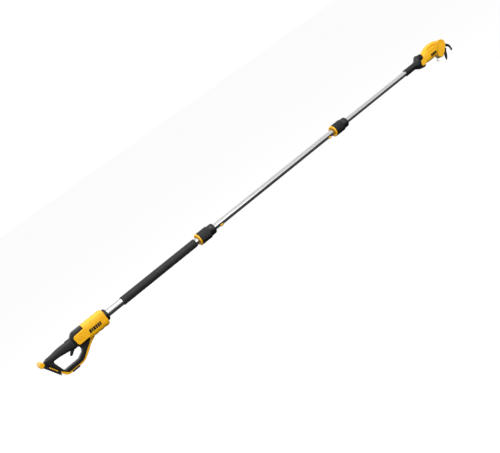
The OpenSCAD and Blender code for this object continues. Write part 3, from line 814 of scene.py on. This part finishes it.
def make_foot_cap():
    """The yellow cap on the battery foot's upper end, with three grooves on each side."""
    corners = [(-55.2, 87.4), (-61.9, 76), (-55.3, 67.5), (-45, 69.5), (-40.15, FOOT_N),
               (-40.15, 86.5), (-46.5, 91)]
    cap = moulded("foot_cap_shell", fillet([foot_point(t, n) for t, n in corners], 4.5), -31, 31, 2.6)
    for k in range(3):
        for side in (-1, 1):
            ends = (foot_point(-57 + 4.4 * k, 73.5), foot_point(-54 + 4.4 * k, 84))
            cut(cap, sweep("grip groove", [(x, side * 31.2, z) for x, z in ends], 0.8, 12))
    dress(cap, "handle", "yellow_plastic", ["foot_cap"])


def make_rest_pad():
    """The soft pad that the handle rests on, with six grooves across its underside."""
    outline = [(-12.5, -88.8), (-12.5, -95), (-11, -96.3)]
    for k in range(6):
        x = -8.6 + 5.0 * k
        outline += [(x, -96.3), (x + 0.5, -95.3), (x + 1.3, -95.3), (x + 1.8, -96.3)]
    outline += [(20.8, -96.3), (22.3, -95), (22.3, -88.8)]
    pad = prism("rest_pad_ribbed", outline, -12, 12)
    ease(pad, 0.35)
    dress(pad, "handle", "grip_rubber", ["rest_pad"])


# -------- pole

FOAM_START, FOAM_LENGTH, FOAM_R = 311.0, 403.0, 18.7
FOAM_RIB_PITCH = 3.8
SLEEVE_RIBS = 40


def foam_ripple(x, radius, angle):
    """Fine ribs across the top of the foam, between two lengthwise grooves."""
    if radius < 17.6 or x < 5 or x > FOAM_LENGTH - 5:
        return radius
    away = abs(degrees(angle) - 90)
    away = min(away, 360 - away)
    if away < 46:
        return radius - 0.75 * (0.5 - 0.5 * cos(2 * pi * x / FOAM_RIB_PITCH))
    if away < 54:
        return radius - 0.9
    return radius


def make_foam():
    """The foam sleeve, divided finely enough along its length to carry the ribs."""
    step = FOAM_RIB_PITCH / 4
    end = [(0, 15.35), (0, 17.2), (0.6, 18.2), (1.9, FOAM_R)]
    profile = end + [(1.9 + i * step, FOAM_R) for i in range(1, int((FOAM_LENGTH - 4) / step))]
    profile += [(FOAM_LENGTH - x, radius) for x, radius in reversed(end)]
    foam = lathe("foam_sleeve", profile, 90, foam_ripple, FOAM_START)
    dress(foam, "handle", "foam", ["foam_grip"], angle=60, weighted=False)


# number, start, outer radius of the tube behind and of the tube in front, body of the hub
COLLARS = ((1, 730, 15.35, 14.1, "handle"), (2, 1592, 14.15, 12.9, "middle_pole"))


def make_hub(number, x, outer, inner, body):
    """A collar's yellow hub: a rounded flange and a spigot that the sleeve turns on."""
    profile = [(5, outer), (0.5, 22.4), (0, 23.2), (0, 25.0), (0.9, 26.4), (2.6, 27.4), (4, 27.7),
               (6.4, 27.7), (6.9, 27.2), (6.9, 19), (54.4, 19), (55, 18.4), (55, inner + 0.4),
               (40, inner + 0.4), (40, outer)]
    hub = lathe(f"hub_{number}", profile, start=x)
    dress(hub, body, "yellow_plastic", [f"collar_{number}_hub"])


def sleeve_ripple(x, radius, angle):
    """Fine lengthwise ribs on the sleeve's wide part."""
    if 12 < x < 58 and radius > 27:
        return radius - 0.55 * (1 + cos(SLEEVE_RIBS * angle))
    return radius


def make_sleeve(number, x, inner):
    """The twist sleeve: a wide ribbed part and a stepped smooth nose."""
    profile = [(7.3, 19.4), (7.3, 27.1), (8.2, 28), (11.9, 28), (12.1, 28), (13.4, 28), (35, 28),
               (56.6, 28), (57.9, 28), (58.1, 28), (60.6, 28), (61.8, 27.2), (62.6, 25.4),
               (63.4, 24.8), (65, 24.8), (65.6, 24.2), (67, 24.2), (67.6, 24.8), (84, 24.2),
               (89, 23.8), (91, 22.8), (91.8, 21), (92, 19.4), (92, inner + 0.5),
               (83, inner + 0.5), (83, 19.4)]
    body = f"collar_{number}"
    sleeve = lathe(f"twist_sleeve_{number}", profile, 240, sleeve_ripple, x)
    dress(sleeve, body, "black_plastic", [body + "_sleeve"], angle=50, weighted=False)


def make_button(number, x, bottom):
    """A domed capsule that sticks out below the pole's near side."""
    turn = Matrix.Rotation(radians(140), 3, "X")
    levels = [(bottom, 4.7), (bottom + 0.3, 5), (16.7, 5), (17.3, 4.7), (17.75, 4.1), (18.0, 3.3),
              (18.1, 2.2)]
    rings = []
    for height, r in levels:
        ring = arc((3, 0), r, -90, 90, 12) + arc((-3, 0), r, 90, 270, 12)
        rings.append([tuple(Vector((x, 0, 0)) + turn @ Vector((a, b, height))) for a, b in ring])
    name = f"button_{number}"
    button = rings_object(name, rings)
    dress(button, name, "yellow_plastic", ["snap_" + name], angle=50, weighted=False)
    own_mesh(button)


def make_cable(name, x0, x1, body, node):
    """Coiled cable: a close helix inside the tubes."""
    pitch, coil, wire, seat, per_turn = 8.0, 4.75, 1.7, 2, 14
    span = x1 - x0 - 2 * seat
    turns = round(span / pitch)
    points = []
    for i in range(turns * per_turn + 1):
        a = 2 * pi * i / per_turn
        points.append((x0 + seat + span * i / (turns * per_turn), coil * cos(a), coil * sin(a)))
    cable = sweep(name, points, wire, 8)
    dress(cable, body, "grip_rubber", [node], weighted=False)
    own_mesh(cable)


# -------- head

TILT = (2251.0, 19.0)
TILT_HOLE_R, BLADE_HOLE_R = 3.05, 4.04
EAR_R, EAR_IN, LOBE_R = 15.8, 10.0, 44.5
BOLT = (2429.0, -31.5)
PINION = (2404.667, -7.754)
HEAD_SCREWS = (((2304, 27.5), 20), ((2304, -20.5), 20), ((2376, -39), 14), ((2421, 13), 14))
STAPLE = (2357.0, -9.0, -38.4)
SNOUT = [
    (2396, 29.5), (2411, 30), (2423, 28), (2432.5, 22.5), (2439, 13.5), (2441, 4), (2436.5, -9.5),
    (2426, -22), (2412, -34), (2399, -44), (2386, -50.6), (2375, -50.6), (2367, -45.5),
    (2362.5, -37), (2361, -26), (2352, -14), (2352, 14), (2376, 25),
]


def lobe_outline(inner, outer, room):
    """The space under the ears between two arcs round the tilt bolt, moved back by room."""
    rear = 2235.5 - room
    start = degrees(acos((rear - TILT[0]) / outer))
    end = degrees(acos((2276 - TILT[0]) / outer))
    found = arc(TILT, outer, -start, -end, 20)
    found += [(2276, 8)]
    found += arc(TILT, inner, -50, -116, 12)
    found += [(rear, -13)]
    return found


def make_clevis():
    """The black fork: a ribbed socket on the pole, flaring into two round ears and a jaw."""
    fork = loft("clevis", [
        (2200, 16.9, 2200, -16.9, 16.9, 2.0), (2207.2, 17.4, 2207.2, -20.8, 17.5, 2.1),
        (2214.4, 18.3, 2214.4, -25.0, 18.4, 2.4), (2221.6, 20.0, 2221.6, -28.2, 19.2, 2.9),
        (2228.8, 25.6, 2228.8, -31.2, 19.8, 3.5), (2236, 31.4, 2236, -33.4, 20, 4.0),
        (2243.2, 33.8, 2243.2, -34.2, 20, 4.4)], edge=0.8)
    sleeve = [(2132, 13), (2132, 15.6), (2133, 16.8), (2134, 17)]
    for k in range(5):
        x = 2141 + 12 * k
        sleeve += [(x, 17), (x + 0.5, 16.3), (x + 2, 16.3), (x + 2.5, 17)]
    sleeve += [(2212, 17), (2212, 13)]
    join(fork, lathe("socket", sleeve))
    round_edge = [(20, 13.2), (19.5, 14.6), (18.4, 15.5), (17.2, EAR_R)]
    levels = [(-y, radius) for y, radius in round_edge] + round_edge[::-1]
    join(fork, spun_y("ears", TILT, levels, 64))
    jaw = [(2236, -22), (2257, -22), (2257.8, -28), (2252.5, -33), (2243, -34.2), (2236, -33.6)]
    join(fork, moulded("jaw", fillet(jaw, 5), -20, 20, 2.2))
    pocket = prism("lobe pocket", fillet(lobe_outline(EAR_R, LOBE_R + 0.3, 0.25), 2.4), -21, 21)
    combine(pocket, rod_y("ear core", TILT, -22, 22, EAR_R, 64))
    cut(fork,
        rod_y("knuckle room", TILT, -EAR_IN, EAR_IN, EAR_R + 1.2, 64),
        prism("gap", [(2243, 40), (2275, 40), (2275, -4), (2243, -4)], -EAR_IN, EAR_IN),
        pocket,
        barrel_x("tube hole", 2131, 2205, 12.93, 0),
        barrel_x("cable hole", 2200, 2250, 8.5, 0),
        rod_y("bolt hole", TILT, -23, 23, TILT_HOLE_R, 32))
    for side in (-1, 1):
        seat = rod_y("bolt seat", TILT, *sorted((side * 19.7, side * 21)), 8.4, 48)
        combine(seat, rod_y("boss", TILT, -22, 22, 7.4, 48))
        cut(fork, seat)
    dress(fork, "upper_pole", "black_plastic", ["head_clevis"])


def body_shell():
    """The pruner's outer form: a humped body, a rounded snout, a lobe in the fork and a knuckle."""
    body = loft("head", [
        (2266.5, 15.5, 2266.5, -24.0, 15.6, 3.0), (2280.5, 25.2, 2276, -26.2, 19.6, 3.2),
        (2297, 32.4, 2287, -27.4, 22.8, 3.4), (2316, 39.0, 2299, -28.0, 24, 3.5),
        (2336, 43.2, 2312, -28.4, 24, 3.5), (2356, 44.3, 2326, -28.4, 24, 3.5),
        (2376, 42.4, 2342, -27.5, 23.6, 3.4), (2390, 38.6, 2353, -26.6, 22.8, 3.2),
        (2399, 31.5, 2360, -23.0, 21.0, 3.0)], edge=3.5)
    for side in (1, -1):
        depth = sorted((side * (EAR_IN - 0.4), side * 40))
        cut(body, rod_y("ear recess", TILT, *depth, EAR_R + 0.6, 64))
    join(body, moulded("snout", curved(SNOUT), -17, 17, 5.0))
    join(body, moulded("lobe", fillet(lobe_outline(EAR_R + 0.6, LOBE_R, 0), 2.5), -19, 19, 1.8))
    knuckle = arc(TILT, 12.5, 102, 258, 24) + arc((2276, 13), 11, -90, 78, 20)
    join(body, prism("knuckle", knuckle, -9.7, 9.7))
    return body


SHOULDER = [  # x, distance from the middle, height and radius of the scoop
    (2286, 22.6, 20.5, 2.4), (2300, 24.2, 24.5, 4.4), (2316, 25.0, 27.2, 5.6), (2334, 25.2, 27.6, 6.0),
    (2352, 25.2, 26.2, 6.0), (2368, 24.8, 23.2, 5.4), (2384, 24.0, 18.8, 3.6),
]


def scoop_shoulders(shell):
    """Hollows the shoulder under the hump, which leaves a raised rail above each side panel."""
    scoop = smooth_path(SHOULDER, 42)
    for side in (-1, 1):
        line = [(x, side * y, z) for x, y, z, r in scoop]
        cut(shell, sweep("shoulder", line, [r for x, y, z, r in scoop], 32))
        rail = [(2290, 8.6), (2308, 9.6), (2328, 9.4), (2346, 7.6)]
        line = [(x, side * y, z) for (x, z), y in zip(rail, (22.6, 25.0, 25.1, 25.1))]
        cut(shell, sweep("panel line", line, 1.6, 16))
        face = [(2400, 21), (2419, 20.6), (2429, 13), (2431.5, 3.6), (2426.5, -8.4), (2412, -22),
                (2398, -33)]
        line = [(x, side * 17.4, z) for x, z in smooth_path(face, 36)]
        cut(shell, sweep("snout line", line, 1.7, 16))
        for k in range(3):
            x = 2396 + 8.4 * k
            line = [(x, side * 17.5, 12 - k), (x - 4, side * 17.5, -16 + 5 * k)]
            cut(shell, sweep("snout rib", line, 1.7, 16))


def make_head():
    """The head's two shells, hollowed for the motor, the gear and the blades, with their mark."""
    shell = body_shell()
    scoop_shoulders(shell)
    grown = swollen(shell)
    slit = [(2426, -62), (2474, -62), (2474, 4), (2440, 8), (2433, 22), (2408, 22), (2400, -10),
            (2388, -47), (2388, -92)]
    hull = arc((2386, -8), 10.6, 90, 270, 16) + arc(PINION, 7.6, -90, 90, 16)
    cut(shell,
        rod_y("blade room", BOLT, -3.9, 3.9, 30.5, 64),
        prism("blade slit", slit, -3.9, 3.9),
        rod_y("bolt room", BOLT, -40, 40, 7.2, 48),
        rod_y("tilt hole", TILT, -21, 21, TILT_HOLE_R, 32),
        barrel_x("cable hole", 2232, 2302, 7, 0),
        barrel_x("motor room", 2298, 2374, 17.5, 4),
        box("gear room", (2366, 2392), (3, 14.2), (-21, 18)),
        prism("pinion room", hull, 3, 14.2),
        rod_y("shaft hole", PINION, -13, 13, 3.06, 32))
    for point, depth in HEAD_SCREWS:
        cut(shell, screw_cut(point, depth))
    for side in (-1, 1):
        leg = [(STAPLE[0], STAPLE[1] + side * 4, STAPLE[2] + rise) for rise in (0, 15.3)]
        cut(shell, sweep("staple hole", leg, 1.32, 16))
    blocks = slanted_blocks(2311, -18.5, 17, (9.5, 11.5, 9, 10.5), 1.0, 1.8)
    inlay("head_mark", blocks, shell, grown, -25, -22.6, "head")
    dress_halves(shell, "body_shell", "head", "yellow_plastic", "head_shell")


HOOK = [
    (2429, -38), (2434.5, -26.5), (2438, -22.5), (2446, -24.8), (2455, -31), (2460, -43), (2459.5, -54.5),
    (2464.5, -57.6), (2469, -54), (2470.3, -42), (2468.5, -30), (2463, -20), (2452, -12), (2443, -5),
    (2436, -1), (2430, 19), (2411, 20), (2411, 6), (2418, -14), (2422, -33),
]


def make_hook():
    """The fixed counter blade, its edges eased, bolted beside the cutting blade."""
    hook = moulded("hook_plate", curved(HOOK), -3, -0.15, 0.4)
    join(hook, spun_y("boss", BOLT, [(-3, 6.9), (-2.6, 7.4), (-0.5, 7.4), (-0.15, 7.1)], 48))
    cut(hook,
        rod_y("bolt hole", BOLT, -5, 5, BLADE_HOLE_R, 48),
        rod_y("boss hole", HEAD_SCREWS[3][0], -5, 5, 4.3, 32))
    dress(hook, "head", "blade_steel", ["hook_blade"])


BLADE_DIR = radians(-116.4)
BLADE_EDGE = [(13, 8.4), (19, 9.1), (25, 9.4), (30, 9.2), (35, 8.6), (40, 7.7), (45, 6.3), (49, 4.8),
              (52.4, 3), (55.4, 0.6)]
BLADE_BACK = [(54, -1.2), (50, -3.4), (44, -5.2), (38, -6.9), (32, -8.5), (26, -9.5), (19, -9.8),
              (12, -9.2), (0, -7.2), (0, 7.2)]
SECTOR_R, SECTOR_TEETH_FULL, FIRST_TOOTH = 26, 26, 135.7


def blade_place(u, v):
    """A point given along the cutting blade and towards its edge, as X and Z."""
    return turned(u, v, BLADE_DIR, BOLT)


def tooth(centre, radius, angle):
    """One gear tooth as a side outline, pointing out from centre at angle in degrees."""
    flank = [(radius - 3.2, 2), (radius, 1.35), (radius + 1.6, 0.5)]
    shape = [(u, -v) for u, v in flank] + flank[::-1]
    return [turned(u, v, radians(angle), centre) for u, v in shape]


def make_cutting_blade():
    """A pointed blade, hollow ground on the side away from the hook, with a toothed tail."""
    flat = [blade_place(u, v) for u, v in BLADE_EDGE + BLADE_BACK]
    ground = [blade_place(u - 1.2, max(v - 4.6, -1.4)) for u, v in BLADE_EDGE]
    ground += [blade_place(u, v + (0.4 if v < 0 else -0.4)) for u, v in BLADE_BACK]
    y0, y1 = 0.15, 3.0
    layers = ((y0, flat), (y0 + 0.4, flat), (y1, ground))
    blade = rings_object("bypass_blade", [[(x, y, z) for x, z in outline] for y, outline in layers])
    sector = arc(BOLT, 24.2, 40, 150, 40) + [(BOLT[0] - 6, BOLT[1]), (BOLT[0], BOLT[1] - 6)]
    join(blade,
        prism("tail", sector, y0, y1),
        spun_y("hub", BOLT, [(y0, 7.2), (0.4, 7.4), (2.7, 7.4), (y1, 7.1)]))
    for k in range(-7, 1):
        angle = FIRST_TOOTH + (k + 0.5) * 360 / SECTOR_TEETH_FULL
        join(blade, prism("tooth", tooth(BOLT, SECTOR_R, angle), y0, y1))
    cut(blade, rod_y("bolt hole", BOLT, -5, 8, BLADE_HOLE_R, 48))
    dress(blade, "cutting_blade", "blade_steel", ["cutting_blade"], weighted=False)
    blade.data.materials.append(EDGE)
    for face in blade.data.polygons:
        far = (face.center / MM - Vector((BOLT[0], 1.5, BOLT[1]))).length
        if 0.2 < abs(face.normal.y) < 0.96 and far > 14 and face.center.z / MM < BOLT[1]:
            face.material_index = 1


def make_bolts():
    """Domed bolt heads with a hexagon socket."""
    levels = [(-7, 3.6), (-6.8, 5.0), (-6.2, 6.0), (-5.3, 6.4), (-3.6, 6.4), (-3.1, 6.0), (-3.1, 4),
              (9.6, 4), (10, 3.6)]
    head = spun_y("blade_bolt_round", BOLT, levels)
    cut(head, rod_y("socket", BOLT, -8, -4.8, 2.7, 6))
    dress(head, "head", "blade_steel", ["blade_bolt"])
    levels = [(-23.4, 4), (-23.2, 5.1), (-22.6, 6), (-21.8, 6.5), (-20.6, 6.5), (-20.1, 6.1),
              (-20.1, 3), (24.6, 3), (25, 2.6)]
    tilt = spun_y("tilt_bolt_round", TILT, levels)
    cut(tilt, rod_y("socket", TILT, -24, -21.3, 2.7, 6))
    dress(tilt, "upper_pole", "blade_steel", ["tilt_bolt"])


def make_branch_hook():
    """Chrome wire: an eye round the staple, a short shank and an open curl."""
    wire, eye, curl = 1.5, 5.0, 6.2

    def place(u, v):
        x, z = turned(u, v, radians(232), (STAPLE[0], STAPLE[2]))
        return x, STAPLE[1], z

    ring = [place(u, v) for u, v in circle((eye - 2.75, 0), eye, 40)]
    hook = sweep("wire_hook", ring, wire, 14, closed=True)
    path = [place(7.0, 0), place(8.2, 0), place(9.2, 0)]
    path += [place(u, v) for u, v in arc((9.6 + curl, 0), curl, 180, 450, 30)]
    join(hook, sweep("shank", path, wire, 14))
    dress(hook, "branch_hook", "chrome", ["branch_hook"], weighted=False)


def make_pieces():
    make_handle()
    make_trigger()
    make_lock_button()
    make_spring("trigger_coil", 42, -14.4, -9.2, 2.4, 6, "trigger_spring")
    make_spring("lock_coil", 41, 1.2, 9.4, 2.6, 7, "lock_spring")
    make_housing()
    make_flange()
    make_foot_cap()
    make_rest_pad()
    ease_node("battery_foot", 1.2)
    ease_node("rail_strips", 0.4)
    make_foam()
    for collar in COLLARS:
        make_hub(*collar)
    for number, x, outer, inner, body in COLLARS:
        make_sleeve(number, x, inner)
    make_button(1, 859, 11.4)
    make_button(2, 1558, 10.4)
    make_cable("coiled_cable_lower", 122.8, 1099.6, "handle", "cable_lower")
    make_cable("coiled_cable_upper", 1100, 2210, "middle_pole", "cable_upper")
    make_clevis()
    make_head()
    make_hook()
    make_cutting_blade()
    make_bolts()
    make_branch_hook()


make_pieces()


# -------- CAD nodes as they are


def dress_cad_nodes():
    """Gives every CAD node the finish of its material slot."""
    slots = {part["node"]: part["material_slot"] for part in frame["record"]["subparts"]}
    for name, node in frame["nodes"].items():
        slot = slots.get(name, "steel")
        node.data.materials.clear()
        node.data.materials.append(FINISHES[slot])


dress_cad_nodes()

# -------- camera, light and floor

POLE_TURN = radians(23.0)  # how far the head end turns away from the camera
POLE_RISE = radians(39.54)  # the pole's slope in the picture
LOOK_DOWN = radians(12.0)  # how far the view dips below the pole's side
AIM = Vector((0.7735, 0.0, 0.0))  # a point on the pole, which the next three place in the view
AIM_DEPTH, AIM_LEFT, AIM_BELOW = 3.371, 0.1922, 0.0341
SENSOR, LENS = 36.0, 56.4


def place_camera():
    ahead = Vector((sin(POLE_TURN), cos(POLE_TURN) * cos(LOOK_DOWN),
                    -cos(POLE_TURN) * sin(LOOK_DOWN)))
    pole = Vector((1, 0, 0))
    along = (pole - ahead * pole.dot(ahead)).normalized()
    above = along.cross(ahead)
    right = along * cos(POLE_RISE) - above * sin(POLE_RISE)
    up = along * sin(POLE_RISE) + above * cos(POLE_RISE)
    data = bpy.data.cameras.new("camera")
    data.sensor_width, data.lens = SENSOR, LENS
    data.clip_start, data.clip_end = 0.05, 200.0
    camera = placed("camera", data)
    turn = Matrix((right, up, -ahead)).transposed().to_4x4()
    place = AIM - ahead * AIM_DEPTH + right * AIM_LEFT + up * AIM_BELOW
    camera.matrix_world = Matrix.Translation(place) @ turn
    scene.camera = camera


def area_light(name, place, target, size, energy):
    data = bpy.data.lights.new(name, "AREA")
    data.shape = "DISK"
    data.size = size
    data.energy = energy
    data.specular_factor = 0.4
    aim = (Vector(target) - Vector(place)).to_track_quat("-Z", "Y")
    placed(name, data).matrix_world = Matrix.Translation(place) @ aim.to_matrix().to_4x4()


def set_world():
    """A white studio: bright above the horizon, dark below it, as over a black flag."""
    world = bpy.data.worlds.new("studio")
    scene.world = world
    world.use_nodes = True
    nodes = world.node_tree.nodes
    coords = nodes.new("ShaderNodeTexCoord")
    split = fill(nodes.new("ShaderNodeSeparateXYZ"), Vector=coords.outputs["Generated"])
    ramp = nodes.new("ShaderNodeMapRange")
    ramp.interpolation_type = "SMOOTHSTEP"
    fill(ramp, Value=split.outputs["Z"], From_Min=-0.16, From_Max=-0.03, To_Min=0.07, To_Max=1.02)
    fill(nodes["Background"], Color=ramp.outputs["Result"])


def make_floor():
    """A wide matt floor well below the tool, which throws no light back at it."""
    half, depth = 60000.0, -900.0
    bm = bmesh.new()
    corners = [(-half, -half), (half, -half), (half, half), (-half, half)]
    bm.faces.new([bm.verts.new((x, y, depth)) for x, y in corners])
    floor = new_object("floor", bm)
    finish = Finish("floor", Base_Color=(0.95, 0.95, 0.95, 1), Roughness=1.0, Specular_IOR_Level=0.0)
    floor.data.materials.append(finish.material)
    floor.visible_diffuse = False
    floor.visible_glossy = False


place_camera()
set_world()
make_floor()
area_light("key", (0.6, -1.6, 3.0), (1.1, 0, 0), 2.4, 60)
area_light("side", (1.9, -3.2, 0.9), (1.9, 0, 0), 1.6, 14)
scene.view_settings.view_transform = "Standard"
